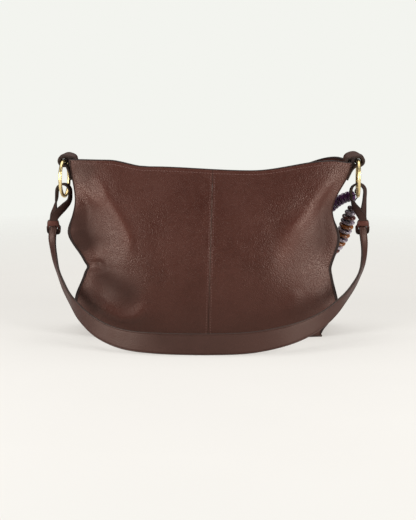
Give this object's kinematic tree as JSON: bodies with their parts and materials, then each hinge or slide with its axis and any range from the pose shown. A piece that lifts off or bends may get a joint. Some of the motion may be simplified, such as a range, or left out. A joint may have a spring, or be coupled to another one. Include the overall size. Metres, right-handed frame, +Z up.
{
  "type": "hobo bag",
  "caption": "Slouchy leather hobo bag with an open mouth, a shoulder strap looped over brass rings, an inside zip pocket and a hanging bead charm.",
  "frame": {"origin": "centre of the flat underside of the base", "axes": "+X to the right along the bag's width, +Y from the strap side to the far side, +Z up"},
  "size_m": [0.412, 0.2184, 0.2235],
  "materials": {
    "outer_leather": "pebbled grain, semi-matt",
    "strap_leather": "smooth, semi-matt",
    "base_leather": "pebbled grain, semi-matt",
    "facing_leather": "smooth, matt",
    "lining_cloth": "cotton twill",
    "board": "plain",
    "brass": "polished, lightly worn",
    "zip_tape": "woven tape",
    "washer_steel": "plain",
    "charm_cord": "waxed cord",
    "bead_dark": "glossy",
    "bead_mottled": "glossy, mottled",
    "bead_brown": "glossy",
    "bead_amber": "glossy",
    "bead_purple": "glossy"
  },
  "bodies": {
    "bag": {"front_panel_left": "outer_leather", "front_panel_right": "outer_leather", "rear_panel_left": "outer_leather", "rear_panel_right": "outer_leather", "gusset_left": "outer_leather", "gusset_right": "outer_leather", "base_panel": "base_leather", "base_stiffener": "board", "facing_front": "facing_leather", "facing_rear": "facing_leather", "lining_front": "lining_cloth", "lining_rear": "lining_cloth", "lining_left": "lining_cloth", "lining_right": "lining_cloth", "lining_base": "lining_cloth", "tab_left": "strap_leather", "tab_right": "strap_leather", "snap_male": "brass", "snap_female": "brass", "snap_washers": "washer_steel", "zip_frame": "facing_leather", "zip_tapes": "zip_tape", "zip_teeth": "brass", "zip_stops": "brass", "zip_pocket_bag": "lining_cloth", "slip_pocket": "lining_cloth"},
    "ring_left": {"ring_left": "brass"},
    "ring_right": {"ring_right": "brass"},
    "strap": {"strap": "strap_leather"},
    "zip_slider": {"zip_slider": "brass"},
    "zip_pull": {"zip_pull": "brass"},
    "charm": {"charm_cord": "charm_cord", "beads_dark": "bead_dark", "beads_mottled": "bead_mottled", "beads_brown": "bead_brown", "beads_amber": "bead_amber", "beads_purple": "bead_purple"}
  },
  "joints": [
    {"name": "strap_swing", "type": "hinge", "parent": "bag", "child": "strap", "pos_m": [0, 0, 0.193], "axis": [-1, 0, 0], "range_deg": [0, 90]},
    {"name": "ring_left_swing", "type": "hinge", "parent": "bag", "child": "ring_left", "pos_m": [-0.182, 0, 0.2152], "axis": [0, 1, 0], "range_deg": [-4, 4]},
    {"name": "ring_right_swing", "type": "hinge", "parent": "bag", "child": "ring_right", "pos_m": [0.191, 0, 0.2152], "axis": [0, -1, 0], "range_deg": [0, 4]},
    {"name": "charm_swing", "type": "hinge", "parent": "ring_right", "child": "charm", "pos_m": [0.192, 0.014, 0.17577], "axis": [0, -1, 0], "range_deg": [0, 50]},
    {"name": "zip_slide", "type": "slide", "parent": "bag", "child": "zip_slider", "axis": [1, 0, 0], "range_m": [0, 0.124]},
    {"name": "zip_pull_hinge", "type": "hinge", "parent": "zip_slider", "child": "zip_pull", "pos_m": [-0.0628, 0.04364, 0.11085], "axis": [0, 0.2352, -0.972], "range_deg": [0, 175]}
  ]
}
